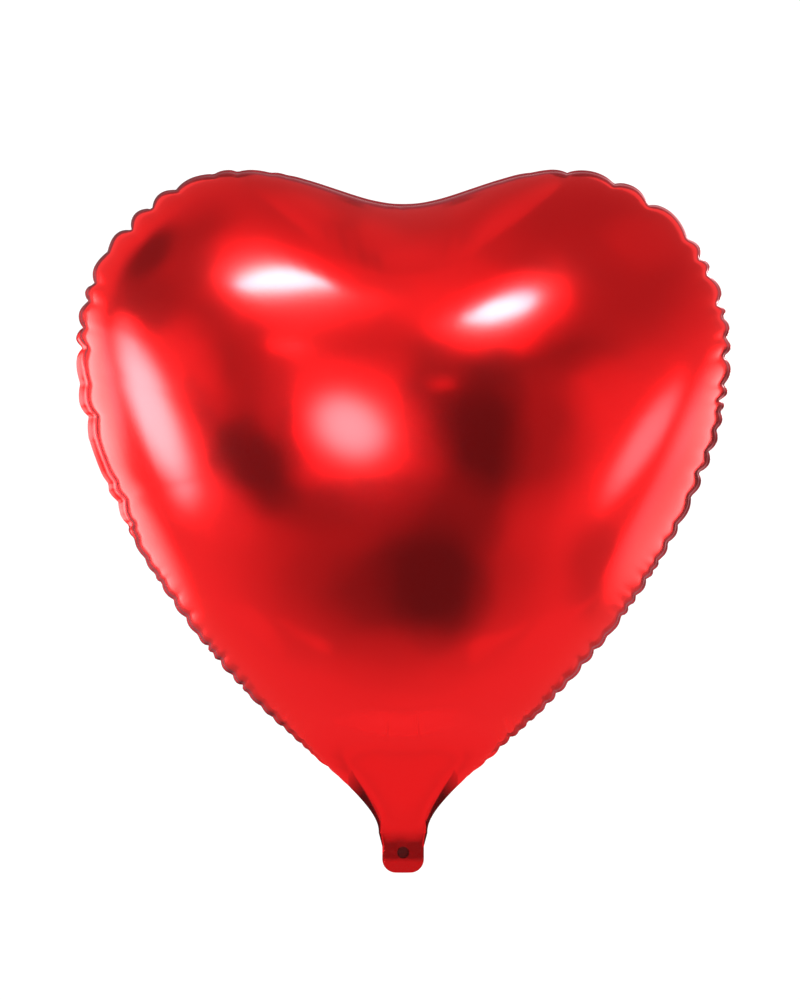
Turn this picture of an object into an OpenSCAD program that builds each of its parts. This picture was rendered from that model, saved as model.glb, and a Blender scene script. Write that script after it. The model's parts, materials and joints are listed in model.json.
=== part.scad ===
// Heart-shaped foil balloon, inflated.
// Two heart-shaped foil panels are heat-welded round their rim. The rim runs down into a
// short flat tail, where two clear films make a self-sealing valve: gas goes in between them
// through the port in the tail, and its own pressure presses their tongues shut inside.
// Millimetres, +Z up, front towards -Y. The origin is the middle of the neck, on the line
// where the tail folds.

/* [Heart] */
// Width of the inflated heart over its rim
heart_w = 383; // [360:1:410]
// Height of the lobes above the neck
lobe_z = 389; // [375:1:405]
// Depth of the cleft below the lobes
cleft_drop = 20; // [12:1:30]
// Distance of each lobe's top from the middle
lobe_x = 94; // [85:1:102]
// Height of the widest place above the neck
wide_z = 280; // [265:1:295]
// Thickness of the inflated heart at its middle
heart_t = 176; // [140:1:190]
// Width of the welded rim
rim_w = 7; // [5:0.5:9]

/* [Tail] */
// Width of the neck, where the tail folds
neck_w = 28.6; // [27:0.2:32]
// Width of the tail near its end
tail_w = 24.4; // [23:0.2:27]
// Length of the tail below the fold
tail_l = 23.4; // [21:0.2:30]
// Radius of the inflation port
port_r = 3.5; // [2.5:0.1:3.6]
// Distance of the port below the fold
port_z = 11.4; // [10:0.2:13]

/* [Valve] */
// Width of the valve films
valve_w = 18; // [16:0.5:18.5]
// Length of the valve tongues inside the heart
tongue_l = 62; // [40:1:80]

/* [Film] */
// Thickness of each foil panel
foil_t = 0.3; // [0.2:0.05:0.4]
// Thickness of each valve film
film_t = 0.15; // [0.1:0.05:0.2]
// Thickness of each weld between foil and valve film
weld_t = 0.15; // [0.1:0.05:0.2]

/* [Hidden] */

fold_gap = 0.8;        // clear of the fold line, on each side of it
neck_z = 10;           // the gas space ends here, above the neck welds
gas_neck_x = 11;       // half the width of the gas space where its end starts to round off
gas_neck_drop = 9;     // and the height over which it does
weld_z = [2, 9];       // the neck welds lie between these heights
root_top = 14;         // the valve films are held up to here
tongue_gap = 0.6;      // between a film's root and its tongue
tongue_rest = 0.1;     // each tongue's distance from the middle plane, at rest
lip_z = [-7, -17];     // lower ends of the front and the back valve lip
shoulder_z = -8;       // the tail has narrowed to tail_w here
end_r = 8;             // corner radius at the tail's end
corner_steps = 10;
mouth_h = 6;           // the tail's seal stops this far above its end, and leaves the mouth
seal_edge = 0.5;       // the seals stop this far inside the foil's edge
seal_gap = 0.5;        // between the valve films and the seals beside them
seal_t = 2 * (film_t + weld_t);   // the gap between the two foils, filled by the rim seal

// Outline: handles of its cubic curves, in the order they are met from the cleft down
cleft_reach = 30;
lobe_reach_in = 40;
lobe_reach_out = 47;
wide_reach_up = 65;
wide_reach_down = 67;
side_reach_up = 71;
side_reach_down = 48;
neck_reach = 18;
side = [89, 79];       // a point on the straight lower side
side_dir = [0.704, 0.71];
arc_steps = 11;        // points on each curve of the outline
neck_steps = 5;        // points on half of the outline's lower end

// Dome: height over the share s of the way from the middle to the rim
mid_z = 225;           // height of the thickest place
round_r = 165;         // near the middle, the level lines turn into circles of this share
round_power = 3;       // a larger power keeps them round further out
blunt_r = 184;         // inside the rim, and towards the neck, the level lines come this far
blunt_soft = 5;        // from the middle at most, so that the dome has no rib above the neck
blunt_reach = 6;       // a larger power keeps this closer to the neck's direction
rim_power = 26;        // a larger power lets the level lines follow the neck nearer to the rim
dome_power = 2.2;
dome_root = 0.6;
tip_taper = 0.5;       // how much flatter the dome is near the neck
rings = 15;

red = "red";
clear = [0.85, 0.9, 0.92, 0.5];

function bezier(a, b, c, d) = [for (k = [0 : arc_steps - 1]) let (t = k / arc_steps)
  pow(1 - t, 3) * a + 3 * pow(1 - t, 2) * t * b + 3 * (1 - t) * t * t * c + pow(t, 3) * d];

// Right half of the outline, moved in by inset, from the cleft down to the middle of its
// lower end, which starts end_x wide each way at height end_z and is round by end_drop
function half_outline(inset, end_x, end_z, end_drop) =
  let (
    cleft = [0, lobe_z - cleft_drop - inset],
    lobe = [lobe_x, lobe_z - inset],
    wide = [heart_w / 2 - inset, wide_z],
    low = side + inset * [-side_dir[1], side_dir[0]],
    end = [end_x, end_z]
  )
  concat(
    bezier(cleft, cleft + [cleft_reach, 0], lobe - [lobe_reach_in, 0], lobe),
    bezier(lobe, lobe + [lobe_reach_out, 0], wide + [0, wide_reach_up], wide),
    bezier(wide, wide - [0, wide_reach_down], low + side_reach_up * side_dir, low),
    bezier(low, low - side_reach_down * side_dir, end + [0, neck_reach], end),
    [for (k = [0 : neck_steps]) let (a = 90 * k / neck_steps)
      [end_x * cos(a), end_z - end_drop * sin(a)]]
  );

// The whole outline, clockwise as seen from the front
function mirrored(half) = concat(half, [for (k = [len(half) - 2 : -1 : 1]) [-half[k][0], half[k][1]]]);
rim_outline = mirrored(half_outline(0, neck_w / 2, fold_gap, 0));
gas_outline = mirrored(half_outline(rim_w, gas_neck_x, neck_z + gas_neck_drop, gas_neck_drop));

middle = [0, mid_z];
function unit(v) = v / norm(v);
function share(ring) = sin(90 * ring / rings);

// A point of the dome's inner face: s of the way from the middle to the gas outline's point p
function dome_point(p, s) =
  let (
    far = norm(p - middle),
    down = max(0, middle[1] - p[1]) / far,
    excess = blunt_soft * ln(1 + exp((far - blunt_r) / blunt_soft)),
    blunt = far - excess * pow(down, blunt_reach) * (1 - pow(s, rim_power)),
    round = pow(1 - pow(s, round_power), 2),
    reach = ((1 - round) * blunt + round * round_r) * unit(p - middle),
    flat = middle + s * reach,
    depth = heart_t / 2 * pow(1 - pow(s, dome_power), dome_root)
      * (1 - tip_taper * pow(s, 6) * pow(down, 4))
  )
  [flat[0], -seal_t / 2 - depth, flat[1]];

count = len(gas_outline);
inner_rings = concat(
  [for (ring = [1 : rings]) [for (p = gas_outline) dome_point(p, share(ring))]],
  [[for (p = rim_outline) [p[0], -seal_t / 2, p[1]]]]
);
inner_top = dome_point(gas_outline[0], 0);

// The outer face is the inner one moved out by foil_t along the dome's normal. The welded
// rim is flat, so it moves straight towards the front.
function normal(ring, k) =
  let (
    row = inner_rings[ring],
    along = row[(k + 1) % count] - row[(k + count - 1) % count],
    out = inner_rings[ring + 1][k] - (ring == 0 ? inner_top : inner_rings[ring - 1][k]),
    n = unit(cross(out, along))
  )
  n[1] < 0 ? n : -n;
function lifted(ring, k) =
  inner_rings[ring][k] + foil_t * (ring >= rings - 1 ? [0, -1, 0] : normal(ring, k));

function shell_points() = concat(
  [inner_top - [0, foil_t, 0]],
  [for (ring = [0 : rings]) for (k = [0 : count - 1]) lifted(ring, k)],
  [inner_top],
  [for (ring = [0 : rings]) for (k = [0 : count - 1]) inner_rings[ring][k]]
);
layer = 1 + (rings + 1) * count;      // points in each of the shell's two faces
function at(ring, k) = 1 + ring * count + k % count;
function face_triangles(first, flip) = concat(
  [for (k = [0 : count - 1]) turned([first, first + at(0, k), first + at(0, k + 1)], flip)],
  [for (ring = [0 : rings - 1]) for (k = [0 : count - 1]) each [
    turned([first + at(ring, k), first + at(ring + 1, k), first + at(ring + 1, k + 1)], flip),
    turned([first + at(ring, k), first + at(ring + 1, k + 1), first + at(ring, k + 1)], flip)
  ]]
);
function turned(f, flip) = flip ? [f[0], f[2], f[1]] : f;
edge_triangles = [for (k = [0 : count - 1]) each [
  [at(rings, k), layer + at(rings, k), layer + at(rings, k + 1)],
  [at(rings, k), layer + at(rings, k + 1), at(rings, k + 1)]
]];

module panel_shell() {
  polyhedron(
    points = shell_points(),
    faces = concat(face_triangles(0, false), face_triangles(layer, true), edge_triangles)
  );
}

// A flat sheet drawn in X and Z, between two depths
module sheet(y_from, y_to) {
  translate([0, y_to, 0])
    rotate([90, 0, 0])
      linear_extrude(y_to - y_from)
        children();
}

module strip_2d(width, z_from, z_to) {
  translate([-width / 2, z_from])
    square([width, z_to - z_from]);
}

// Tail: narrows below the fold and has round corners at its end
function arc(centre, r, from, to) =
  [for (k = [0 : corner_steps]) let (a = from + (to - from) * k / corner_steps)
    centre + r * [cos(a), sin(a)]];

module tail_2d(inset = 0) {
  half_top = neck_w / 2 - inset;
  half_end = tail_w / 2 - inset;
  corner = [half_end - end_r, -tail_l + inset + end_r];
  polygon(concat(
    [[-half_top, -fold_gap], [half_top, -fold_gap], [half_end, shoulder_z]],
    arc(corner, end_r, 0, -90),
    arc([-corner[0], corner[1]], end_r, -90, -180),
    [[-half_end, shoulder_z]]
  ));
}

module tail_sheet(y_from, y_to) {
  sheet(y_from, y_to) tail_2d();
}

// Both sheets of the tail, and the port through the front one
module tail_front() {
  color(red) difference() {
    tail_sheet(-seal_t / 2 - foil_t, -seal_t / 2);
    translate([0, -port_z / 2, -port_z])
      rotate([-90, 0, 0])
        cylinder(r = port_r, h = port_z, $fn = 64);
  }
}

module tail_back() {
  color(red) tail_sheet(seal_t / 2, seal_t / 2 + foil_t);
}

module front_panel() {
  color(red) panel_shell();
}

module back_panel() {
  color(red) mirror([0, 1, 0]) panel_shell();
}

// Fused sealant that joins the two foils all round the heart
module rim_seal() {
  side_gap = valve_w + 2 * seal_gap;
  color(red) sheet(-seal_t / 2, seal_t / 2) difference() {
    polygon(mirrored(half_outline(seal_edge, neck_w / 2 - seal_edge, fold_gap, 0)));
    polygon(mirrored(half_outline(rim_w - seal_edge, gas_neck_x, neck_z + gas_neck_drop, gas_neck_drop)));
    strip_2d(side_gap, 0, neck_z + rim_w);
  }
}

// The same seal down both sides of the tail. Its end stays open, as the mouth.
module tail_seal() {
  color(red) sheet(-seal_t / 2, seal_t / 2) difference() {
    tail_2d(seal_edge);
    strip_2d(valve_w + 2 * seal_gap, -tail_l, 0);
    strip_2d(neck_w, -tail_l, -tail_l + mouth_h);
  }
}

// Welds across the neck, which hold each valve film to its foil
module neck_weld_front() {
  color(red) sheet(-seal_t / 2, -film_t) strip_2d(valve_w, weld_z[0], weld_z[1]);
}

module neck_weld_back() {
  color(red) sheet(film_t, seal_t / 2) strip_2d(valve_w, weld_z[0], weld_z[1]);
}

// Each valve film in its three stretches: root in the neck, tongue in the gas, lip in the tail
module valve_root_front() {
  color(clear) sheet(-film_t, 0) strip_2d(valve_w, fold_gap, root_top);
}

module valve_root_back() {
  color(clear) sheet(0, film_t) strip_2d(valve_w, fold_gap, root_top);
}

module tongue_2d() {
  strip_2d(valve_w, root_top + tongue_gap, root_top + tongue_gap + tongue_l);
}

module valve_tongue_front() {
  color(clear) sheet(-tongue_rest - film_t, -tongue_rest) tongue_2d();
}

module valve_tongue_back() {
  color(clear) sheet(tongue_rest, tongue_rest + film_t) tongue_2d();
}

module valve_lip_front() {
  color(clear) sheet(-film_t, 0) strip_2d(valve_w, lip_z[0], -fold_gap);
}

module valve_lip_back() {
  color(clear) sheet(0, film_t) strip_2d(valve_w, lip_z[1], -fold_gap);
}

front_panel();
back_panel();
rim_seal();
neck_weld_front();
neck_weld_back();
valve_root_front();
valve_root_back();
valve_tongue_front();
valve_tongue_back();
tail_front();
tail_back();
tail_seal();
valve_lip_front();
valve_lip_back();
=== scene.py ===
"""Visual model of an inflated heart-shaped foil balloon with a short folding tail.

The two foil panels start as a smooth pillow with small pleats along its welded rim. The
cloth solver then settles them under gas pressure, so the rim crumples as a real one does.
Worked out in millimetres and built in metres, in the CAD model's frame: +Z up, front towards
-Y, origin at the tail's fold line.
"""
import json
import math

import bmesh
import bpy
import numpy as np
from mathutils import Matrix, Vector


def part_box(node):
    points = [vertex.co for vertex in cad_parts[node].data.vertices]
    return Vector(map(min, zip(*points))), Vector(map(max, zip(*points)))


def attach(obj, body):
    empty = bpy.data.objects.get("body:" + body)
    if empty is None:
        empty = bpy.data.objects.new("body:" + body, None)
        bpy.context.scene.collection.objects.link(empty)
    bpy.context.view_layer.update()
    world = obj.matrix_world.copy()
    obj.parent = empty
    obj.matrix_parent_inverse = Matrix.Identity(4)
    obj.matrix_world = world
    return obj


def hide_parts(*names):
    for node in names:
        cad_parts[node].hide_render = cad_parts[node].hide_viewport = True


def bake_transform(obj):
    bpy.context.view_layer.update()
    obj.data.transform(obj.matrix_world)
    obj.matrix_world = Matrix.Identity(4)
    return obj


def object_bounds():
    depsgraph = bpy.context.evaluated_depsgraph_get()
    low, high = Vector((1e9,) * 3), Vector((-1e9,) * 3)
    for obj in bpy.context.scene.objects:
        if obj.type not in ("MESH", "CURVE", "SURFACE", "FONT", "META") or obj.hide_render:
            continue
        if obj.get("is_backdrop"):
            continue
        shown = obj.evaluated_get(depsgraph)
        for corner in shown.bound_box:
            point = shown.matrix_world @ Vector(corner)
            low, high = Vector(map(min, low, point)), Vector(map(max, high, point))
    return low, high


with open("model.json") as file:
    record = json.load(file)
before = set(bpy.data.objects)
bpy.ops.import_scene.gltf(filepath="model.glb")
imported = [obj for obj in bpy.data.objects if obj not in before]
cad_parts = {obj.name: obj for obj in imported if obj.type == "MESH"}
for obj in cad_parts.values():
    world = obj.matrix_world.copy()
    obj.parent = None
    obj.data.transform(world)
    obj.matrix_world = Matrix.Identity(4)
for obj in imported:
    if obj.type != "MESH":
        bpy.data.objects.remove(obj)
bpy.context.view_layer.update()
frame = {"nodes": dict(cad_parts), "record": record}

MM = 0.001

# ---------------------------------------------------------------- sizes, in millimetres

HALF_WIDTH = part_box("front_panel")[1][0] / MM
LOBE_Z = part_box("front_panel")[1][2] / MM
FOLD_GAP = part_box("front_panel")[0][2] / MM
HALF_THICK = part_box("back_panel")[1][1] / MM
TAIL_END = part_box("tail_front")[0][2] / MM
NECK_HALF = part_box("tail_front")[1][0] / MM

CLEFT_DROP = 20
LOBE_X = 94
WIDE_Z = 280
SIDE_POINT = np.array([89.0, 79.0])    # on the straight lower side
SIDE_DIR = np.array([0.704, 0.71])
RIM_WIDTH = 7
MIDDLE = np.array([0.0, 225.0])        # the thickest place

SEAM_NECK_X = 11                       # the gas space's half width where its end rounds off
SEAM_NECK_Z = 19
SEAM_NECK_DROP = 9

OUTLINE_STEPS = 200                    # points of each of the outline's curves
NECK_ARM = 18                          # lengths of the curves' arms, from the neck to the cleft
SIDE_ARMS = (48, 71)
WIDE_ARMS = (67, 65)
LOBE_ARMS = (47, 40)
CLEFT_ARM = 30


# ---------------------------------------------------------------- the heart's outline

def bezier(a, b, c, d):
    """The points of a cubic curve, without its last one."""
    t = np.linspace(0, 1, OUTLINE_STEPS, endpoint=False)[:, None]
    a, b, c, d = (np.array(p, float) for p in (a, b, c, d))
    return (1 - t) ** 3 * a + 3 * (1 - t) ** 2 * t * b + 3 * (1 - t) * t ** 2 * c + t ** 3 * d


def half_outline(inset, end_x, end_z, end_drop):
    """The right half of the outline moved in by inset, from the bottom's middle to the cleft."""
    cleft = np.array([0, LOBE_Z - CLEFT_DROP - inset])
    lobe = np.array([LOBE_X, LOBE_Z - inset])
    wide = np.array([HALF_WIDTH - inset, WIDE_Z])
    low = SIDE_POINT + inset * np.array([-SIDE_DIR[1], SIDE_DIR[0]])
    end = np.array([end_x, end_z])
    share = np.linspace(0, 1, OUTLINE_STEPS, endpoint=False)
    angle = np.linspace(0, math.pi / 2, OUTLINE_STEPS, endpoint=False)
    across = np.sin(angle) if end_drop else share
    bottom = np.stack([end_x * across, end_z - end_drop * np.cos(angle)], axis=1)
    return np.vstack([
        bottom,
        bezier(end, end + [0, NECK_ARM], low - SIDE_ARMS[0] * SIDE_DIR, low),
        bezier(low, low + SIDE_ARMS[1] * SIDE_DIR, wide - [0, WIDE_ARMS[0]], wide),
        bezier(wide, wide + [0, WIDE_ARMS[1]], lobe + [LOBE_ARMS[0], 0], lobe),
        bezier(lobe, lobe - [LOBE_ARMS[1], 0], cleft + [CLEFT_ARM, 0], cleft),
        [cleft],
    ])


def around(half):
    """The whole outline, anticlockwise as seen from the front, starting at the bottom."""
    mirrored = half[-2:0:-1] * [-1, 1]
    return np.vstack([half, mirrored])


SPOKES = 768        # points round the rim
NECK_SPOKES = 15    # of these, on each half of the neck's bottom edge

rim_dense = half_outline(0, NECK_HALF, FOLD_GAP, 0)
seam_dense = half_outline(RIM_WIDTH, SEAM_NECK_X, SEAM_NECK_Z, SEAM_NECK_DROP)
rim_steps = np.linalg.norm(np.diff(rim_dense, axis=0), axis=1)
run = np.concatenate([[0], np.cumsum(rim_steps)])
neck_run = run[OUTLINE_STEPS]
spoke_run = np.concatenate([
    np.linspace(0, neck_run, NECK_SPOKES, endpoint=False),
    np.linspace(neck_run, run[-1], SPOKES // 2 + 1 - NECK_SPOKES),
])
spoke_place = np.interp(spoke_run, run, np.arange(len(run)))


def at_spokes(dense):
    """The outline's points at the spokes of its right half."""
    count = np.arange(len(dense))
    return np.stack([np.interp(spoke_place, count, dense[:, k]) for k in (0, 1)], axis=1)


rim = around(at_spokes(rim_dense))
rim_length = 2 * run[-1]
rim_run = np.concatenate([spoke_run, rim_length - spoke_run[-2:0:-1]])


def along_rim(right, left):
    """A value at each spoke, read from one table for each side: run from the neck, value."""
    onwards = np.interp(rim_run, *zip(*right))
    backwards = np.interp(rim_length - rim_run, *zip(*left))
    return np.where(rim_run <= rim_length / 2, onwards, backwards)


# How far the welded rim leans back, in degrees. It curls: each row of it leans further.
RIGHT_LEAN = [(30, 0), (70, 75), (556, 75)]
LEFT_LEAN = [(30, 0), (70, 75), (235, 75), (265, 46), (345, 46), (375, 75), (556, 75)]
ROW_LEAN = (0.88, 1.0, 1.12)
row_leans = np.outer(ROW_LEAN, np.radians(along_rim(RIGHT_LEAN, LEFT_LEAN)))
row_outward = np.cumsum(np.cos(row_leans), axis=0) / len(ROW_LEAN)
row_backward = np.cumsum(np.sin(row_leans), axis=0) / len(ROW_LEAN)
seam = rim + row_outward[-1][:, None] * (around(at_spokes(seam_dense)) - rim)


# ---------------------------------------------------------------- the smooth pillow

BULGE = (2.2, 0.6)      # powers of the dome's profile, at its middle and at the seam
MIDDLE_REACH = 165      # near its middle the dome is round, as if the seam were this far away
BLUNT_REACH = 184       # below, the dome ends blunt at this reach, and runs on flat to the seam
BLUNT_SOFT = 5
BLUNT_POWERS = (6, 26)  # how narrow the blunt end is, and how close to the seam it goes
LOW_THIN = 0.5          # the dome's lower end is thinner by up to this share
LOW_POWERS = (6, 4)


def dome(points, share):
    """Front face of the smooth pillow: share of the way from its middle to the seam's points."""
    arm = points - MIDDLE
    far = np.linalg.norm(arm, axis=1)
    down = np.maximum(0, -arm[:, 1]) / far
    excess = BLUNT_SOFT * np.log1p(np.exp((far - BLUNT_REACH) / BLUNT_SOFT))
    blunt = far - excess * down ** BLUNT_POWERS[0] * (1 - share ** BLUNT_POWERS[1])
    round_off = (1 - share ** 3) ** 2
    reach = (1 - round_off) * blunt + round_off * MIDDLE_REACH
    flat = MIDDLE + (share * reach / far)[:, None] * arm
    thin = 1 - LOW_THIN * share ** LOW_POWERS[0] * down ** LOW_POWERS[1]
    depth = HALF_THICK * (1 - share ** BULGE[0]) ** BULGE[1] * thin
    return np.stack([flat[:, 0], -depth, flat[:, 1]], axis=1)


# Rings from the middle out to the seam: how far round a quarter circle, and how many points
RING_ANGLES = np.concatenate([
    [0.012, 0.03, 0.06, 0.1],
    np.linspace(0.14, 0.37, 6),
    np.linspace(0.41, 0.62, 7),
    np.linspace(0.64, 0.74, 5),
    np.linspace(0.755, 1.0, 19),
])
RING_COUNTS = [12, 24, 48, 96] + [96] * 6 + [192] * 7 + [384] * 5 + [768] * 19
FLANGE_ROWS = len(ROW_LEAN)


def ring_rows():
    """For each ring, the spokes that it has a point on."""
    return [np.arange(0, SPOKES, SPOKES // n) for n in RING_COUNTS]


def pillow():
    """The points of each ring of the front half, from the middle out to the seam."""
    shares = np.sin(RING_ANGLES * math.pi / 2)
    rings = [np.array([[0, -HALF_THICK, MIDDLE[1]]])]
    for share, row in zip(shares, ring_rows()):
        rings.append(dome(seam[row], np.full(len(row), share)))
    return rings


def ring_triangles(inner, outer, first_in, first_out):
    """Triangles between two rings, where the outer has as many points or twice as many."""
    n = len(inner)
    found = []
    if len(outer) == n:
        for k in range(n):
            a, b = first_in + k, first_in + (k + 1) % n
            c, d = first_out + k, first_out + (k + 1) % n
            found += [(a, c, d), (a, d, b)] if k % 2 else [(a, c, b), (b, c, d)]
        return found
    for k in range(n):
        a, b = first_in + k, first_in + (k + 1) % n
        c, d, e = (first_out + (2 * k + i) % (2 * n) for i in range(3))
        found += [(a, c, d), (a, d, b), (b, d, e)]
    return found


# ---------------------------------------------------------------- pleats along the rim

# Run along the rim from the neck, against the spacing and the depth of its scallops, in mm
RIGHT_SPACING = [(0, 8), (150, 9), (250, 13), (400, 15), (440, 26), (500, 20), (540, 16)]
RIGHT_DEPTH = [(40, 0), (70, 1.5), (220, 1.9), (280, 2.8), (400, 3.3), (470, 3.2), (510, 1.5),
               (556, 0)]
LEFT_SPACING = [(0, 8), (150, 8), (250, 10), (290, 20), (345, 36), (365, 17), (470, 17), (540, 15)]
LEFT_DEPTH = [(40, 0), (70, 1.5), (150, 1.6), (200, 1.3), (300, 1.4), (345, 2.2), (365, 3.8),
              (465, 3.4), (500, 1.6), (556, 0)]
PLEATS_SEED = 7
SPACING_SPREAD = (0.5, 1.5)     # each scallop's spacing varies by these factors
SIZE_SPREAD = (0.5, 1.3)        # and its depth by these
NOTCH_WIDTH = 3
NOTCH_SIDEWAYS = 0.45       # a notch goes out of plane by this share of its depth


def pleats(seed):
    """How far each spoke's seam point is drawn in, and out of plane, in mm."""
    rng = np.random.default_rng(seed)
    spacing = along_rim(RIGHT_SPACING, LEFT_SPACING)
    notches = [0.0]
    while notches[-1] < rim_length:
        gap = np.interp(notches[-1], rim_run, spacing)
        notches.append(notches[-1] + gap * rng.uniform(*SPACING_SPREAD))
    notches = np.array(notches)
    size = rng.uniform(*SIZE_SPREAD, len(notches))
    side = rng.choice([-1.0, 1.0], len(notches))
    after = np.searchsorted(notches, rim_run, side="right")
    before = after - 1
    share = (rim_run - notches[before]) / (notches[after] - notches[before])
    notch = (2 * share - 1) ** 2
    depth = along_rim(RIGHT_DEPTH, LEFT_DEPTH)
    drawn_in = depth * (size[before] + share * (size[after] - size[before])) * notch
    nearest = np.where(share < 0.5, before, after)
    away = np.abs(rim_run - notches[nearest])
    out_of_plane = NOTCH_SIDEWAYS * depth * size[nearest] * side[nearest]
    return drawn_in, out_of_plane * np.exp(-(away / NOTCH_WIDTH) ** 2)


# ---------------------------------------------------------------- inflating the foil

FRAMES = 30
PLEAT_REACH = 12        # how deep the pleats reach into the pillow
HELD_NECK = (10, 14)    # the solver holds the neck up to the first height, and frees it by the second
SETTLED_SHARE = 0.35    # how much of the solver's crumpling is kept
BROAD_WAVES = 12        # swells with up to this many waves round the rim are taken out again
CREASE_REACH = 17       # how far the creases reach in from the seam, over the foil
CALM_NECK = (25, 60)    # no creases up to the first height, and all of them from the second


class Balloon:
    """The balloon's points, in mm: the front's rings, the back's, and the rim's flange rows."""

    def __init__(self):
        rings = pillow()
        self.sizes = [len(r) for r in rings]
        self.first = np.concatenate([[0], np.cumsum(self.sizes)])
        front = np.vstack(rings)
        self.seam_first = self.first[-2]
        self.back_first = len(front)
        self.flange_first = len(front) + self.seam_first
        points = [front, front[:self.seam_first] * [1, -1, 1]]
        for outward, backward in zip(row_outward, row_backward):
            ring = seam + (outward / row_outward[-1])[:, None] * (rim - seam)
            points.append(np.stack([ring[:, 0], RIM_WIDTH * backward, ring[:, 1]], axis=1))
        self.points = np.vstack(points)

    def flange_index(self, row, spoke=0):
        first = self.seam_first if row == 0 else self.flange_first + (row - 1) * SPOKES
        return first + spoke % SPOKES

    def front_triangles(self):
        rows = [np.arange(1)] + ring_rows()
        fan = self.sizes[1]
        found = [(0, 1 + k, 1 + (k + 1) % fan) for k in range(fan)]
        for j in range(1, len(rows) - 1):
            found += ring_triangles(rows[j], rows[j + 1], self.first[j], self.first[j + 1])
        return found

    def back_triangles(self):
        """The front's triangles mirrored; the seam's points are shared."""
        shift = [i if i >= self.seam_first else i + self.back_first for i in range(self.back_first)]
        return [tuple(shift[i] for i in reversed(t)) for t in self.front_triangles()]

    def flange_triangles(self):
        found = []
        for row in range(FLANGE_ROWS):
            for k in range(SPOKES):
                a, b = self.flange_index(row, k), self.flange_index(row, k + 1)
                c, d = self.flange_index(row + 1, k), self.flange_index(row + 1, k + 1)
                found += [(a, c, d), (a, d, b)] if k % 2 else [(a, c, b), (b, c, d)]
        return found

    def start_pleats(self, seed):
        """Draws the rim in and out of plane at each crease, fading inwards."""
        drawn_in, sideways = pleats(seed)
        outward = rim - seam
        outward /= np.linalg.norm(outward, axis=1)[:, None]
        move = np.stack([-drawn_in * outward[:, 0], sideways, -drawn_in * outward[:, 1]], axis=1)
        edge = self.points[self.seam_first:self.back_first].copy()
        for j, row in enumerate(ring_rows()[:-1], start=1):
            front = slice(self.first[j], self.first[j] + len(row))
            back = slice(self.back_first + front.start, self.back_first + front.stop)
            gap = np.linalg.norm(self.points[front] - edge[row], axis=1)
            faded = np.exp(-gap / PLEAT_REACH)[:, None] * move[row]
            self.points[front] += faded
            self.points[back] += faded
        for row in range(FLANGE_ROWS + 1):
            first = self.flange_index(row)
            self.points[first:first + SPOKES] += move

    def held(self):
        """1 where the solver holds a point still, at the neck."""
        return np.interp(self.points[:, 2], HELD_NECK, (1, 0))

    def keep_creases(self, smooth):
        """Leaves only creases near the seam, which the stiffer welded rim then follows."""
        edge = smooth[self.seam_first:self.back_first]
        starts = [(self.first[j + 1], row) for j, row in enumerate(ring_rows())]
        starts += [(self.back_first + first, row) for first, row in starts[:-1]]
        for first, row in starts:
            ring = slice(first, first + len(row))
            waves = np.fft.fft(self.points[ring] - smooth[ring], axis=0)
            waves[np.abs(np.fft.fftfreq(len(row), 1 / len(row))) <= BROAD_WAVES] = 0
            gap = np.linalg.norm(smooth[ring] - edge[row], axis=1)
            fade = np.exp(-(gap / CREASE_REACH) ** 2) * np.interp(smooth[ring, 2], CALM_NECK, (0, 1))
            self.points[ring] = smooth[ring] + fade[:, None] * np.fft.ifft(waves, axis=0).real
        for pole in (0, self.back_first):
            self.points[pole] = smooth[pole]
        creased = self.points[self.seam_first:self.back_first] - edge
        for row in range(1, FLANGE_ROWS + 1):
            first = self.flange_index(row)
            self.points[first:first + SPOKES] = smooth[first:first + SPOKES] + creased


def inflate(balloon):
    """Lets gas pressure and the foil's own lengths settle the rim."""
    mesh = bpy.data.meshes.new("foil_at_rest")
    triangles = balloon.front_triangles() + balloon.back_triangles() + balloon.flange_triangles()
    mesh.from_pydata((balloon.points * MM).tolist(), [], np.array(triangles).tolist())
    piece = bpy.data.objects.new("foil_at_rest", mesh)
    bpy.context.scene.collection.objects.link(piece)
    hold = piece.vertex_groups.new(name="held")
    for i, weight in enumerate(balloon.held()):
        if weight > 0:
            hold.add([i], float(weight), "REPLACE")
    gas = piece.vertex_groups.new(name="gas")
    gas.add(list(range(int(balloon.flange_first))), 1.0, "REPLACE")

    cloth = piece.modifiers.new("cloth", "CLOTH")
    settings = cloth.settings
    settings.quality = 6
    settings.mass = 0.01
    settings.air_damping = 3
    settings.tension_stiffness = 200
    settings.compression_stiffness = 2
    settings.shear_stiffness = 5
    settings.bending_stiffness = 0.001
    settings.tension_damping = 5
    settings.compression_damping = 5
    settings.shear_damping = 5
    settings.vertex_group_mass = "held"
    settings.pin_stiffness = 5
    settings.use_pressure = True
    settings.uniform_pressure_force = 150
    settings.vertex_group_pressure = "gas"
    settings.effector_weights.gravity = 0
    cloth.collision_settings.use_collision = False
    cloth.collision_settings.use_self_collision = False
    cloth.point_cache.frame_start = 1
    cloth.point_cache.frame_end = FRAMES
    for number in range(1, FRAMES + 1):
        bpy.context.scene.frame_set(number)
    settled = piece.evaluated_get(bpy.context.evaluated_depsgraph_get()).to_mesh()
    places = np.empty(len(settled.vertices) * 3)
    settled.vertices.foreach_get("co", places)
    balloon.points = places.reshape(-1, 3) / MM
    bpy.context.scene.frame_set(1)
    bpy.data.objects.remove(piece)
    bpy.data.meshes.remove(mesh)


# ---------------------------------------------------------------- foil panels with their tails

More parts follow.
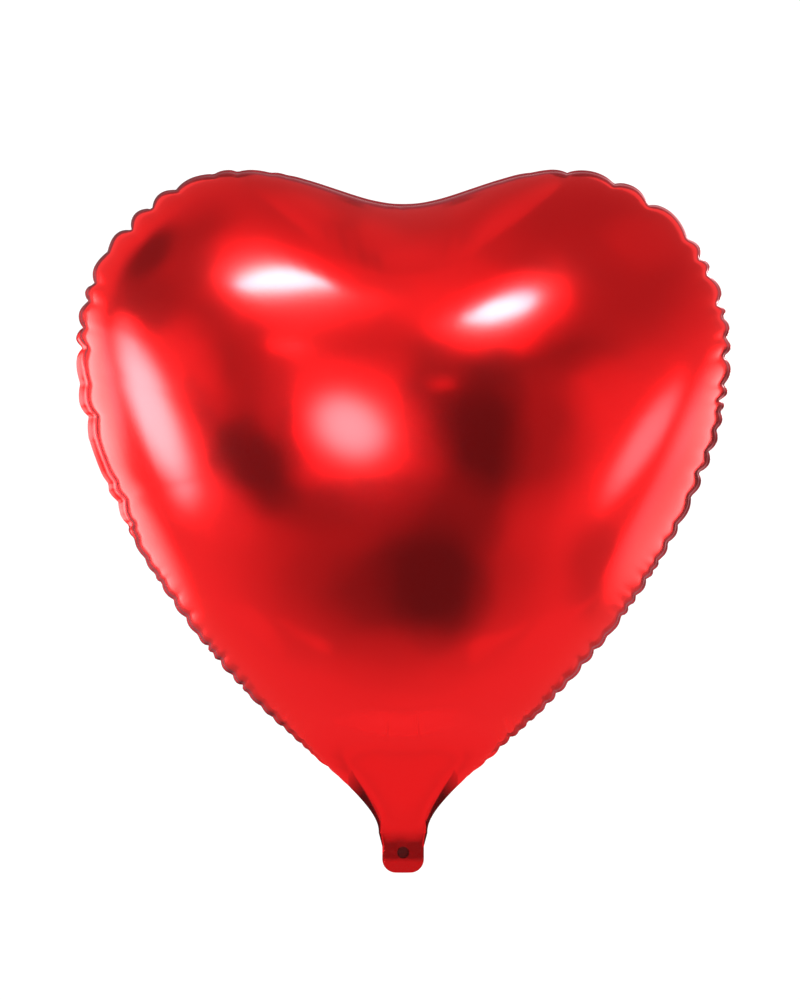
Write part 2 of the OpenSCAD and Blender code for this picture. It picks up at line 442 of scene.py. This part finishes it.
FOIL_OFFSET = 0.13      # each foil lies this far from the middle of the weld
PUFF_DEPTH = 3.3        # at the fold, the foils are puffed out by this much in the middle
PUFF_GROWTH = 30        # and more with height: e times as much this far up
PUFF_EDGE = 0.4         # the edges stay flat over this width
PUFF_POWER = 0.6        # how round the puff is across
PUFF_HEIGHTS = (35, 85)     # the puffed neck turns into the heart between these heights
MOUTH_FLAT = 0.75       # at its end the tail is flatter by this share
MOUTH_TAPER = 3         # and turns flat over about this length
DENTS = 12              # in the tail, from its end up to DENTS_TOP
DENTS_TOP = -8
DENTS_SEED = 5
DENT_RADIUS = (2.5, 5)
DENT_DEPTH = 0.2
# Heights of the tail's rows of points, close together where the foil folds
TAIL_ROWS = np.concatenate([np.linspace(0.4, -2.4, 8), np.linspace(-3.2, TAIL_END + 8, 14)])
TAIL_CORNER = 8
TAIL_SHOULDER = (-8, 12.2)      # height, and half the tail's width from there down
PORT_Z = frame["record"]["mounts"][1]["pos_m"][2] / MM
PORT_R = frame["record"]["mounts"][1]["dims"]["r_mm"]
NECK_COLUMNS = np.arange(-NECK_SPOKES, NECK_SPOKES + 1)
FILM_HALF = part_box("valve_root_front")[1][0] / MM
FILM_THICK = 0.08
FILM_GAP = 0.07         # from the middle plane to each film's lip and root
TONGUE_GAP = 0.17       # and to its tongue
FILM_ROW = 1.5
FILM_COLUMNS = 13
SLACK_WAVES = (9, 7)    # lengths of a film's slack waves, along it and across
LIP_SLACK = 0.1
TONGUE_SLACK = 0.5


def tail_half_width(z):
    straight = np.interp(z, [TAIL_SHOULDER[0], 0], [TAIL_SHOULDER[1], NECK_HALF])
    into_corner = np.clip(TAIL_END + TAIL_CORNER - z, 0, TAIL_CORNER)
    return straight - TAIL_CORNER + np.sqrt(TAIL_CORNER ** 2 - into_corner ** 2)


def half_width(z):
    """Half the width of the neck, or of the tail."""
    up = rim_dense[OUTLINE_STEPS:3 * OUTLINE_STEPS]
    return np.where(z > FOLD_GAP, np.interp(z, up[:, 1], up[:, 0]), tail_half_width(z))


def dented(x, z):
    """1 where the tail is smooth, and less in its dents."""
    rng = np.random.default_rng(DENTS_SEED)
    left = np.ones(np.shape(x))
    for _ in range(DENTS):
        dent_x, dent_z = rng.uniform(-NECK_HALF, NECK_HALF), rng.uniform(TAIL_END, DENTS_TOP)
        gap = np.hypot(x - dent_x, z - dent_z) / rng.uniform(*DENT_RADIUS)
        left -= DENT_DEPTH * left * np.exp(-gap ** 2)
    return left


def puff(x, z):
    """How far each foil is puffed out from the weld's plane, in the neck and the tail."""
    across = np.clip(1 - (x / (half_width(z) - PUFF_EDGE)) ** 2, 0, 1)
    closed = np.exp((TAIL_END - z) / MOUTH_TAPER)
    full = PUFF_DEPTH * np.exp(z / PUFF_GROWTH) * (1 - MOUTH_FLAT * closed) * across ** PUFF_POWER
    return full * dented(x, z)


def puffed_neck(points, side):
    """Blends the heart's lower end into the puffed neck."""
    share = np.interp(points[:, 2], PUFF_HEIGHTS, (1, 0))
    share = share ** 2 * (3 - 2 * share)
    target = side * (FOIL_OFFSET + puff(points[:, 0], points[:, 2]))
    points[:, 1] += share * (target - points[:, 1])


def tail_grid():
    """The front foil's tail: rows of points, from just below the neck to the end."""
    corner = TAIL_END + TAIL_CORNER * (1 - np.sin(np.linspace(0.1, 1, 10) * math.pi / 2))
    rows = []
    for z in np.concatenate([TAIL_ROWS, corner]):
        x = NECK_COLUMNS / NECK_SPOKES * tail_half_width(z)
        z = np.full(len(x), z)
        rows.append(np.stack([x, -FOIL_OFFSET - puff(x, z), z], axis=1))
    return rows


def foil_mesh(balloon, side):
    """Points and faces of one panel and its tail. side is -1 for the front, 1 for the back."""
    start = 0 if side < 0 else balloon.back_first
    inner = balloon.points[start:start + balloon.seam_first].copy()
    puffed_neck(inner, side)
    flange = [balloon.points[balloon.flange_index(r):balloon.flange_index(r) + SPOKES]
              for r in range(FLANGE_ROWS + 1)]
    layers = []
    for r, ring in enumerate(flange):
        along = np.roll(ring, -1, axis=0) - np.roll(ring, 1, axis=0)
        across = flange[min(r + 1, FLANGE_ROWS)] - flange[max(r - 1, 0)]
        normal = np.cross(along, across)
        normal /= np.linalg.norm(normal, axis=1)[:, None]
        normal *= np.sign(normal[:, 1:2]) * side
        layer = ring + normal * FOIL_OFFSET
        puffed_neck(layer, side)
        layers.append(layer)
    tail = [row * [1, -side, 1] for row in tail_grid()]
    points = np.vstack([inner] + layers + tail)

    def flange_at(row, spoke):
        return balloon.seam_first + row * SPOKES + spoke % SPOKES

    tail_first = balloon.seam_first + (FLANGE_ROWS + 1) * SPOKES
    columns = len(NECK_COLUMNS)

    def tail_at(row, column):
        if row < 0:
            return flange_at(FLANGE_ROWS, column - NECK_SPOKES)
        return tail_first + row * columns + column

    faces = [tuple(t) for t in balloon.front_triangles()]
    for row in range(FLANGE_ROWS):
        for k in range(SPOKES):
            faces.append((flange_at(row, k), flange_at(row + 1, k), flange_at(row + 1, k + 1),
                          flange_at(row, k + 1)))
    for row in range(-1, len(tail) - 1):
        for k in range(columns - 1):
            faces.append((tail_at(row, k), tail_at(row + 1, k), tail_at(row + 1, k + 1),
                          tail_at(row, k + 1)))
    if side > 0:
        faces = [tuple(reversed(f)) for f in faces]
    return points, faces


def add_piece(name, points, faces, material):
    """A smooth-shaded mesh piece, from points in mm."""
    mesh = bpy.data.meshes.new(name)
    mesh.from_pydata((points * MM).tolist(), [], [tuple(int(i) for i in f) for f in faces])
    mesh.validate()
    mesh.polygons.foreach_set("use_smooth", [True] * len(mesh.polygons))
    mesh.materials.append(material)
    piece = bpy.data.objects.new(name, mesh)
    bpy.context.scene.collection.objects.link(piece)
    return piece


def cut_port(piece):
    """Opens the round inflation port in the front foil's tail."""
    edit = bmesh.new()
    edit.from_mesh(piece.data)

    def off_centre(vert):
        return Vector((vert.co.x, vert.co.z - PORT_Z * MM))

    near = {v for v in edit.verts if off_centre(v).length < PORT_R * MM}
    bmesh.ops.delete(edit, geom=list(near), context="VERTS")
    for vert in edit.verts:
        arm = off_centre(vert)
        if vert.is_boundary and arm.length < 2 * PORT_R * MM:
            arm *= PORT_R * MM / arm.length
            vert.co.x, vert.co.z = arm.x, PORT_Z * MM + arm.y
    edit.to_mesh(piece.data)
    edit.free()


def strip_mesh(rows, thick):
    """A closed strip: rows of points, made thick along the surface's normals."""
    rows = np.array(rows, float)
    count, length = rows.shape[:2]
    along = np.gradient(rows, axis=1)
    across = np.gradient(rows, axis=0)
    normal = np.cross(along, across)
    normal /= np.linalg.norm(normal, axis=2)[:, :, None]
    normal *= np.sign(normal[:, :, 1:2]) + (normal[:, :, 1:2] == 0)
    layers = [rows - normal * thick / 2, rows + normal * thick / 2]
    points = np.vstack([layer.reshape(-1, 3) for layer in layers])

    def at(layer, row, k):
        return (layer * count + row) * length + k

    faces = []
    for row in range(count - 1):
        for k in range(length - 1):
            quad = ((row, k), (row + 1, k), (row + 1, k + 1), (row, k + 1))
            faces.append(tuple(at(0, *q) for q in quad))
            faces.append(tuple(at(1, *q) for q in reversed(quad)))
    edge = [(0, k) for k in range(length - 1)]
    edge += [(row, length - 1) for row in range(count - 1)]
    edge += [(count - 1, k) for k in range(length - 1, 0, -1)]
    edge += [(row, 0) for row in range(count - 1, 0, -1)]
    for k, here in enumerate(edge):
        after = edge[(k + 1) % len(edge)]
        faces.append((at(0, *here), at(0, *after), at(1, *after), at(1, *here)))
    return points, faces


def add_closed_piece(name, points, faces, material):
    piece = add_piece(name, points, faces, material)
    edit = bmesh.new()
    edit.from_mesh(piece.data)
    bmesh.ops.recalc_face_normals(edit, faces=edit.faces)
    edit.to_mesh(piece.data)
    edit.free()
    return piece


# ---------------------------------------------------------------- materials

FOIL_DEEP = (0.78, 0.0008, 0.0016)
FOIL_BRIGHT = (0.84, 0.0012, 0.0024)
FOIL_ROUGH = (0.12, 0.155)
SEALANT_DEEP = (0.16, 0.004, 0.006)
SEALANT_BRIGHT = (0.3, 0.008, 0.012)
SEALANT_ROUGH = (0.35, 0.6)
# the film's dark red tint paints the shade seen in the inflation port
FILM_DEEP = (0.05, 0.004, 0.004)
FILM_BRIGHT = (0.11, 0.008, 0.008)
FILM_ROUGH = (0.08, 0.25)
NOISE_SPREAD = (0.3, 0.7)       # nearly all of the noise lies between these values


def new_material(name):
    made = bpy.data.materials.new(name)
    made.use_nodes = True
    return made, made.node_tree, made.node_tree.nodes["Principled BSDF"]


def noise(tree, scale, detail=2.0):
    """Noise with this many features in a metre."""
    place = tree.nodes.new("ShaderNodeTexCoord")
    found = tree.nodes.new("ShaderNodeTexNoise")
    found.inputs["Scale"].default_value = scale
    found.inputs["Detail"].default_value = detail
    tree.links.new(place.outputs["Object"], found.inputs["Vector"])
    return found.outputs["Fac"]


def colours_between(tree, value, low, high):
    ramp = tree.nodes.new("ShaderNodeValToRGB")
    ramp.color_ramp.elements[0].position = NOISE_SPREAD[0]
    ramp.color_ramp.elements[0].color = (*low, 1)
    ramp.color_ramp.elements[1].position = NOISE_SPREAD[1]
    ramp.color_ramp.elements[1].color = (*high, 1)
    tree.links.new(value, ramp.inputs["Fac"])
    return ramp.outputs["Color"]


def numbers_between(tree, value, low, high):
    spread = tree.nodes.new("ShaderNodeMapRange")
    spread.inputs["From Min"].default_value = NOISE_SPREAD[0]
    spread.inputs["From Max"].default_value = NOISE_SPREAD[1]
    spread.inputs["To Min"].default_value = low
    spread.inputs["To Max"].default_value = high
    tree.links.new(value, spread.inputs["Value"])
    return spread.outputs["Result"]


def bump(tree, value, distance, normal=None):
    """Bumps of up to this distance, in metres, on top of other ones if there are any."""
    found = tree.nodes.new("ShaderNodeBump")
    found.inputs["Distance"].default_value = distance
    tree.links.new(value, found.inputs["Height"])
    if normal is not None:
        tree.links.new(normal, found.inputs["Normal"])
    return found.outputs["Normal"]


def foil_material():
    """Red metallised film, with a faint haze."""
    made, tree, shader = new_material("red_foil")
    red = colours_between(tree, noise(tree, 9), FOIL_DEEP, FOIL_BRIGHT)
    tree.links.new(red, shader.inputs["Base Color"])
    shader.inputs["Metallic"].default_value = 1
    rough = numbers_between(tree, noise(tree, 22, 4), *FOIL_ROUGH)
    tree.links.new(rough, shader.inputs["Roughness"])
    shader.inputs["Specular Tint"].default_value = (1, 0.35, 0.4, 1)
    shader.inputs["Sheen Weight"].default_value = 0.014
    shader.inputs["Sheen Roughness"].default_value = 1
    shader.inputs["Sheen Tint"].default_value = (1, 0.9, 0.95, 1)
    shader.inputs["Coat Weight"].default_value = 0.2
    shader.inputs["Coat Roughness"].default_value = 0.16
    dents = bump(tree, noise(tree, 26, 1), 0.0006)
    grain = bump(tree, noise(tree, 900, 3), 0.000006, dents)
    tree.links.new(grain, shader.inputs["Normal"])
    return made


def sealant_material():
    """Melted sealant, seen between the foils' edges."""
    made, tree, shader = new_material("melted_sealant")
    colour = colours_between(tree, noise(tree, 300, 3), SEALANT_DEEP, SEALANT_BRIGHT)
    tree.links.new(colour, shader.inputs["Base Color"])
    rough = numbers_between(tree, noise(tree, 700), *SEALANT_ROUGH)
    tree.links.new(rough, shader.inputs["Roughness"])
    tree.links.new(bump(tree, noise(tree, 1200, 3), 0.00002), shader.inputs["Normal"])
    return made


def film_material():
    """Plastic film, tinted dark red and partly clear; the dark tint paints the shade seen in the
    inflation port.
    """
    made, tree, shader = new_material("clear_film")
    colour = colours_between(tree, noise(tree, 120, 3), FILM_DEEP, FILM_BRIGHT)
    tree.links.new(colour, shader.inputs["Base Color"])
    shader.inputs["Alpha"].default_value = 0.4
    shader.inputs["Specular IOR Level"].default_value = 0.25
    rough = numbers_between(tree, noise(tree, 200, 4), *FILM_ROUGH)
    tree.links.new(rough, shader.inputs["Roughness"])
    tree.links.new(bump(tree, noise(tree, 160), 0.0001), shader.inputs["Normal"])
    return made


foil = foil_material()
sealant = sealant_material()
film = film_material()

# ---------------------------------------------------------------- the pieces

balloon = Balloon()
smooth_points = balloon.points.copy()
balloon.start_pleats(PLEATS_SEED)
pleated = balloon.points
inflate(balloon)
balloon.points = pleated + SETTLED_SHARE * (balloon.points - pleated)
balloon.keep_creases(smooth_points)

for side, name in ((-1, "front"), (1, "back")):
    points, faces = foil_mesh(balloon, side)
    piece = add_piece(f"foil_{name}", points, faces, foil)
    if name == "front":
        cut_port(piece)
    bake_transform(piece)
    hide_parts(f"{name}_panel", f"tail_{name}")

SEAL_THICK = 0.2
SEAL_INSET = 0.5        # the sealant stays this far inside the foils' edges
SEAL_CLEAR = 0.5        # and this far from the valve films
SEAL_GAP_SPOKES = 10    # the rim's seal leaves the neck open, this many spokes each side
SEAL_ROWS = 12          # of points, and columns, in each of the tail's seals
SEAL_COLUMNS = 4

rim_rows = [balloon.points[balloon.flange_index(row):balloon.flange_index(row) + SPOKES]
            for row in range(FLANGE_ROWS + 1)]
rim_rows[-1] = rim_rows[-1] + SEAL_INSET * FLANGE_ROWS / RIM_WIDTH * (rim_rows[-2] - rim_rows[-1])
rim_rows = [row[SEAL_GAP_SPOKES:SPOKES - SEAL_GAP_SPOKES + 1] for row in rim_rows]
points, faces = strip_mesh(rim_rows, SEAL_THICK)
piece = add_closed_piece("rim_weld", points, faces, sealant)
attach(piece, "envelope")
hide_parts("rim_seal")

seal_low, seal_high = (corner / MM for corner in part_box("tail_seal"))
strips = []
for sign in (-1, 1):
    rows = []
    for z in np.linspace(seal_high[2], seal_low[2], SEAL_ROWS):
        x = np.linspace(FILM_HALF + SEAL_CLEAR, tail_half_width(z) - SEAL_INSET, SEAL_COLUMNS)
        rows.append(np.stack([sign * x, np.zeros(SEAL_COLUMNS), np.full(SEAL_COLUMNS, z)], axis=1))
    strips.append(strip_mesh(rows, SEAL_THICK))
points = np.vstack([p for p, _ in strips])
faces = strips[0][1] + [tuple(i + len(strips[0][0]) for i in f) for f in strips[1][1]]
piece = add_closed_piece("tail_weld", points, faces, sealant)
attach(piece, "tail")
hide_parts("tail_seal")


def film_rows(node_low, node_high, gap, wave):
    """Rows of a valve film from low to high, a gap off the middle plane, with a slack wave."""
    rows = []
    x = np.linspace(-FILM_HALF, FILM_HALF, FILM_COLUMNS)
    for z in np.linspace(node_low, node_high, int((node_high - node_low) / FILM_ROW)):
        waves = np.sin(z / SLACK_WAVES[0] + x / SLACK_WAVES[1])
        slack = wave * waves * np.cos(x / FILM_HALF * math.pi / 2)
        rows.append(np.stack([x, gap + slack, np.full(FILM_COLUMNS, z)], axis=1))
    return rows


def film_box(node):
    return [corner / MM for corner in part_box(node)]


for side, name in ((-1, "front"), (1, "back")):
    lip, root = film_box(f"valve_lip_{name}"), film_box(f"valve_root_{name}")
    rows = film_rows(lip[0][2], root[1][2], side * FILM_GAP, LIP_SLACK)
    points, faces = strip_mesh(rows, FILM_THICK)
    piece = add_closed_piece(f"valve_film_{name}", points, faces, film)
    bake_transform(piece)
    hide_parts(f"valve_lip_{name}", f"valve_root_{name}")

    low, high = film_box(f"valve_tongue_{name}")
    rows = film_rows(low[2], high[2], side * TONGUE_GAP, TONGUE_SLACK)
    points, faces = strip_mesh(rows, FILM_THICK)
    piece = add_closed_piece(f"valve_flap_{name}", points, faces, film)
    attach(piece, f"tongue_{name}")
    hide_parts(f"valve_tongue_{name}")

for name in ("neck_weld_front", "neck_weld_back"):
    for slot in frame["nodes"][name].material_slots:
        slot.material = sealant

# ---------------------------------------------------------------- camera

EYE = Vector((-1.8, -2000, 195))    # in mm, as all of the sizes here
VIEW_HEIGHT = 586                   # how much the picture shows at the rim's distance
SENSOR = 36

camera = bpy.data.cameras.new("camera")
camera.sensor_width = SENSOR
camera.lens = SENSOR * -EYE.y / VIEW_HEIGHT
eye = bpy.data.objects.new("camera", camera)
eye.location = EYE * MM
eye.rotation_euler = (math.pi / 2, 0, 0)
bpy.context.scene.collection.objects.link(eye)
bpy.context.scene.camera = eye

# ---------------------------------------------------------------- studio

# What the front foil mirrors, as soft ovals on it: x, z, half length, half height, tilt, level.
# These are painted reflections on glowing sheets. Later ovals cover earlier ones. The rest of the
# sheets has the plain level.
# Painted dark reflections: ovals darker than the plain level, where the foil shows dark patches
PAINTED_DARK_REFLECTIONS = [
    (10, 372, 170, 38, 0, 0.6),         # painted dark reflection along the top
    (112, 328, 78, 62, 0, 0.48),        # painted dark reflection on the right
    (-126, 330, 44, 27, 35, 0.5),       # painted dark reflection on the left
    (-146, 335, 26, 10, 50, 0.22),
    (-146, 306, 30, 18, 20, 0.36),
    (-88, 278, 54, 24, 100, 0.44),
    (0, 315, 28, 22, 0, 0.84),
    (-14, 286, 40, 18, 0, 0.62),
    (-30, 344, 30, 16, 0, 0.8),
    (138, 344, 28, 18, 0, 0.62),
    (112, 155, 22, 30, 0, 0.65),
    (-6, 158, 90, 66, 0, 0.47),         # painted dim reflection over the middle and lower part
    (-35, 192, 55, 18, 0, 0.38),
    (72, 238, 32, 52, 0, 0.43),
    (64, 281, 60, 17, 0, 0.25),
    (-108, 232, 34, 13, -62, 0.5),
    (-62, 232, 13, 26, 0, 0.32),
    (-84, 217, 36, 20, -57, 0.14),
    (18, 252, 26, 34, 0, 0.33),
    (43, 236, 27, 62, 0, 0.11),
    (30, 184, 26, 28, 0, 0.28),
    (-4, 150, 42, 30, 15, 0.27),
    (17, 150, 32, 38, 20, 0.13),
]
BEHIND = [
    (0, 335, 150, 62, 0, 0.25),         # painted dark reflection along the top of the back foil
]
# A painted highlight: a bright soft patch left of the middle, on the glowing sheets
PAINTED_HIGHLIGHT = [
    (-32, 240, 25, 23, -30, 1.3),
    (-30, 236, 22, 17, -30, 42),
]
GLOWS = [
    (-70, 322, 25, 11, 0, 1.6),         # painted glow round the two lamps' highlights
    (51, 303, 21, 10, 12, 1.2),
    (100, 318, 25, 28, 0, 0.45),        # painted dimmer patches beyond them
    (-112, 326, 22, 42, 0, 0.42),
    (-64, 282, 11, 3, 0, 6),            # two small painted glints below them
    (22, 262, 9, 2.5, 5, 1.5),
]
# Painted highlights in the shape of softboxes, on the glowing sheet; they light nothing
PAINTED_SIDE_HIGHLIGHTS = [
    (-176, 255, 60, 14, -80, 17),       # painted highlights of softboxes: their wide soft edges, on the left and the right
    (-158, 186, 60, 13, -60, 12),
    (168, 225, 62, 14, 68, 12),
    (148, 188, 52, 13, 60, 7.5),
    (-143, 246, 50, 12, -68, 56),       # and their brightest parts
    (137, 228, 38, 8, 57, 18),
]
# Lamps have a brightness in the last place
LAMPS = [
    (-69, 321, 25, 4.5, 2, 150),
    (55, 303, 19, 5, 12, 150),
]
MIRROR_DISTANCE = 1000
MIRROR_RINGS = 120
MIRROR_SPOKES = 192
MIRROR_START = 0.006    # the sheets' innermost ring, as a share of the radius
FRONT_REACH = 0.98      # the sheet in front is what the foil mirrors over this share of its radius
BACK_REACH = 0.66       # the one behind covers the rest of the directions
PLAIN_LEVEL = 1.0
SOFT_EDGE = (0.45, 1.25)    # an oval is full up to this share of its size, and gone at the second
LAMP_DISTANCE = 0.97        # the lamps hang a little nearer than the sheet, by this share
LAMP_NEAREST = 6            # a lamp's place is found from this many of the sheet's points
LAMP_EVEN = 0.1             # a small gap, which keeps one point from counting alone


def mirror_sheet():
    """Rings of points on the front foil's smooth shape, and where each mirrors the camera to."""
    spokes = np.arange(0, SPOKES, SPOKES // MIRROR_SPOKES)
    shares = np.linspace(MIRROR_START, FRONT_REACH, MIRROR_RINGS)
    grid = np.array([dome(seam[spokes], np.full(len(spokes), s)) for s in shares])
    along = np.roll(grid, -1, axis=1) - np.roll(grid, 1, axis=1)
    normal = np.cross(np.gradient(grid, axis=0), along)
    normal /= np.linalg.norm(normal, axis=2)[:, :, None]
    normal *= -np.sign(normal[:, :, 1:2])
    sight = grid - np.array(EYE)
    sight /= np.linalg.norm(sight, axis=2)[:, :, None]
    bounce = sight - 2 * (sight * normal).sum(axis=2)[:, :, None] * normal
    return grid, grid + MIRROR_DISTANCE * bounce


def level_at(grid, ovals):
    """How bright the painted reflection is that each point mirrors."""
    level = np.full(grid.shape[:2], PLAIN_LEVEL)
    for x, z, half_length, half_height, tilt, value in ovals:
        turn = math.radians(tilt)
        right, up = grid[:, :, 0] - x, grid[:, :, 2] - z
        across = (right * math.cos(turn) + up * math.sin(turn)) / half_length
        upward = (up * math.cos(turn) - right * math.sin(turn)) / half_height
        cover = np.interp(np.hypot(across, upward), SOFT_EDGE, (1, 0))
        cover = cover ** 2 * (3 - 2 * cover)
        level += cover * (value - level)
    return level


def glow_material(name):
    """Emission of the strength in the mesh's attribute level."""
    made, tree, shader = new_material(name)
    tree.nodes.remove(shader)
    glow = tree.nodes.new("ShaderNodeEmission")
    level = tree.nodes.new("ShaderNodeAttribute")
    level.attribute_name = "level"
    tree.links.new(level.outputs["Fac"], glow.inputs["Strength"])
    tree.links.new(glow.outputs["Emission"], tree.nodes["Material Output"].inputs["Surface"])
    return made


def set_levels(piece, values):
    """Sets the painted brightness of a glowing sheet or card at each point, and leaves it to be
    mirrored only.
    """
    level = piece.data.attributes.new("level", "FLOAT", "POINT")
    level.data.foreach_set("value", values)
    piece.visible_camera = False
    piece.visible_diffuse = False
    piece.visible_shadow = False
    piece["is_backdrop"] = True


def add_painted_reflections(name, turn, reach, ovals):
    """A glowing sheet of painted reflections, in front of the balloon (turn 1) or turned round to be
    behind it (-1).
    """
    rows = round(MIRROR_RINGS * reach / FRONT_REACH)
    faces = []
    for row in range(rows - 1):
        for k in range(MIRROR_SPOKES):
            after = (k + 1) % MIRROR_SPOKES
            faces.append((row * MIRROR_SPOKES + k, (row + 1) * MIRROR_SPOKES + k,
                          (row + 1) * MIRROR_SPOKES + after, row * MIRROR_SPOKES + after))
    points = mirrored_to[:rows].reshape(-1, 3) * [turn, turn, 1]
    sheet = add_piece(name, points, faces, glow_material(name))
    set_levels(sheet, level_at(mirror_grid[:rows], ovals).ravel())


mirror_grid, mirrored_to = mirror_sheet()
add_painted_reflections("painted_reflections_front", 1, FRONT_REACH, PAINTED_DARK_REFLECTIONS + PAINTED_HIGHLIGHT + GLOWS + PAINTED_SIDE_HIGHLIGHTS)
add_painted_reflections("painted_reflections_back", -1, BACK_REACH, PAINTED_DARK_REFLECTIONS + BEHIND + PAINTED_HIGHLIGHT)


def add_lamp(number, x, z, half_length, half_height, tilt, brightness):
    """An oval lamp, seen in the front foil as an oval at x, z with these half sizes and tilt."""
    turn = math.radians(tilt)
    flat = mirror_grid[:, :, [0, 2]].reshape(-1, 2)
    spots = []
    for right, up in ((0, 0), (1, 0), (-1, 0), (0, 1), (0, -1)):
        right, up = right * half_length, up * half_height
        spot = np.array([x + right * math.cos(turn) - up * math.sin(turn),
                         z + right * math.sin(turn) + up * math.cos(turn)])
        gap = np.linalg.norm(flat - spot, axis=1)
        near = np.argsort(gap)[:LAMP_NEAREST]
        share = 1 / (gap[near] + LAMP_EVEN)
        nearest = mirrored_to.reshape(-1, 3)[near]
        spots.append((nearest * share[:, None]).sum(axis=0) / share.sum())
    centre = Vector(spots[0])
    side, up = Vector(spots[1] - spots[2]), Vector(spots[3] - spots[4])
    back = (centre - Vector((x, 0, z))).normalized()
    side_axis = (side - side.dot(back) * back).normalized()
    turned = Matrix((side_axis, back.cross(side_axis), back)).transposed().to_4x4()
    lamp = bpy.data.lights.new(f"lamp_{number}", "AREA")
    lamp.shape = "ELLIPSE"
    lamp.size = side.length * MM
    lamp.size_y = up.length * MM
    lamp.energy = brightness * math.pi * math.pi / 4 * lamp.size * lamp.size_y
    holder = bpy.data.objects.new(lamp.name, lamp)
    holder.matrix_world = Matrix.Translation(centre * MM * LAMP_DISTANCE) @ turned
    holder.visible_camera = False
    holder.visible_diffuse = False
    bpy.context.scene.collection.objects.link(holder)


for number, facts in enumerate(LAMPS):
    add_lamp(number, *facts)


def add_card(name, start, end, levels):
    """An upright glowing card of painted shade, in mm, from start to end as seen from above, with its
    levels by height.
    """
    corners = [(*place, z) for z, _ in levels for place in (start, end)]
    faces = [(2 * r, 2 * r + 1, 2 * r + 3, 2 * r + 2) for r in range(len(levels) - 1)]
    card = add_piece(name, np.array(corners, float), faces, glow_material(name))
    set_levels(card, [value for _, value in levels for _ in (start, end)])


# Glowing cards of painted shade that the neck and the tail mirror, with their levels as pairs of
# height and level
NECK_CARD = [(-70, 1), (-18, 1), (-11, 0.88), (-2, 0.98), (14, 1.02)]
NECK_CARD_HALF = 75
NECK_CARD_AWAY = 45
# the tail card paints a dark band on the tail's lower part
TAIL_CARD = [(-45, 0.55), (-22, 0.6), (-17, 0.25), (-12, 0.25), (-7, 0.6), (-2, 0.85)]
TAIL_CARD_HALF = 32
TAIL_CARD_AWAY = 15
# the side cards paint dark streaks along the neck's sides
SIDE_CARD = [(-45, 0.08), (12, 0.08), (34, 0.8)]
SIDE_CARD_AWAY = 32
SIDE_CARD_ENDS = (-10, 70)

for turn, place in ((1, "front"), (-1, "back")):
    y = -NECK_CARD_AWAY * turn
    add_card(f"neck_shade_card_{place}", (-NECK_CARD_HALF, y), (NECK_CARD_HALF, y), NECK_CARD)
    y = -TAIL_CARD_AWAY * turn
    add_card(f"tail_shade_card_{place}", (-TAIL_CARD_HALF, y), (TAIL_CARD_HALF, y), TAIL_CARD)
    x = SIDE_CARD_AWAY * turn
    add_card(f"side_shade_card_{place}", (x, SIDE_CARD_ENDS[0]), (x, SIDE_CARD_ENDS[1]), SIDE_CARD)

FLOOR_Z = -0.95     # in metres, as the floor's half size
FLOOR_HALF = 6
FLOOR_DEEP = (0.93, 0.93, 0.93)
FLOOR_BRIGHT = (0.96, 0.96, 0.96)
LIGHT_STRENGTH = 1.1

floor_corners = [(x * FLOOR_HALF, y * FLOOR_HALF, FLOOR_Z)
                 for x, y in ((-1, -1), (1, -1), (1, 1), (-1, 1))]
floor_mesh = bpy.data.meshes.new("floor")
floor_mesh.from_pydata(floor_corners, [], [(0, 1, 2, 3)])
floor = bpy.data.objects.new("floor", floor_mesh)
bpy.context.scene.collection.objects.link(floor)
pale, tree, shader = new_material("pale_floor")
grey = colours_between(tree, noise(tree, 3), FLOOR_DEEP, FLOOR_BRIGHT)
tree.links.new(grey, shader.inputs["Base Color"])
shader.inputs["Roughness"].default_value = 0.9
floor_mesh.materials.append(pale)
floor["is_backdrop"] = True

world = bpy.data.worlds.new("studio")
world.use_nodes = True
background = world.node_tree.nodes["Background"]
background.inputs["Color"].default_value = (1, 1, 1, 1)
background.inputs["Strength"].default_value = LIGHT_STRENGTH
bpy.context.scene.world = world
bpy.context.scene.view_settings.view_transform = "Standard"

# ---------------------------------------------------------------- sizes

low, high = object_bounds()
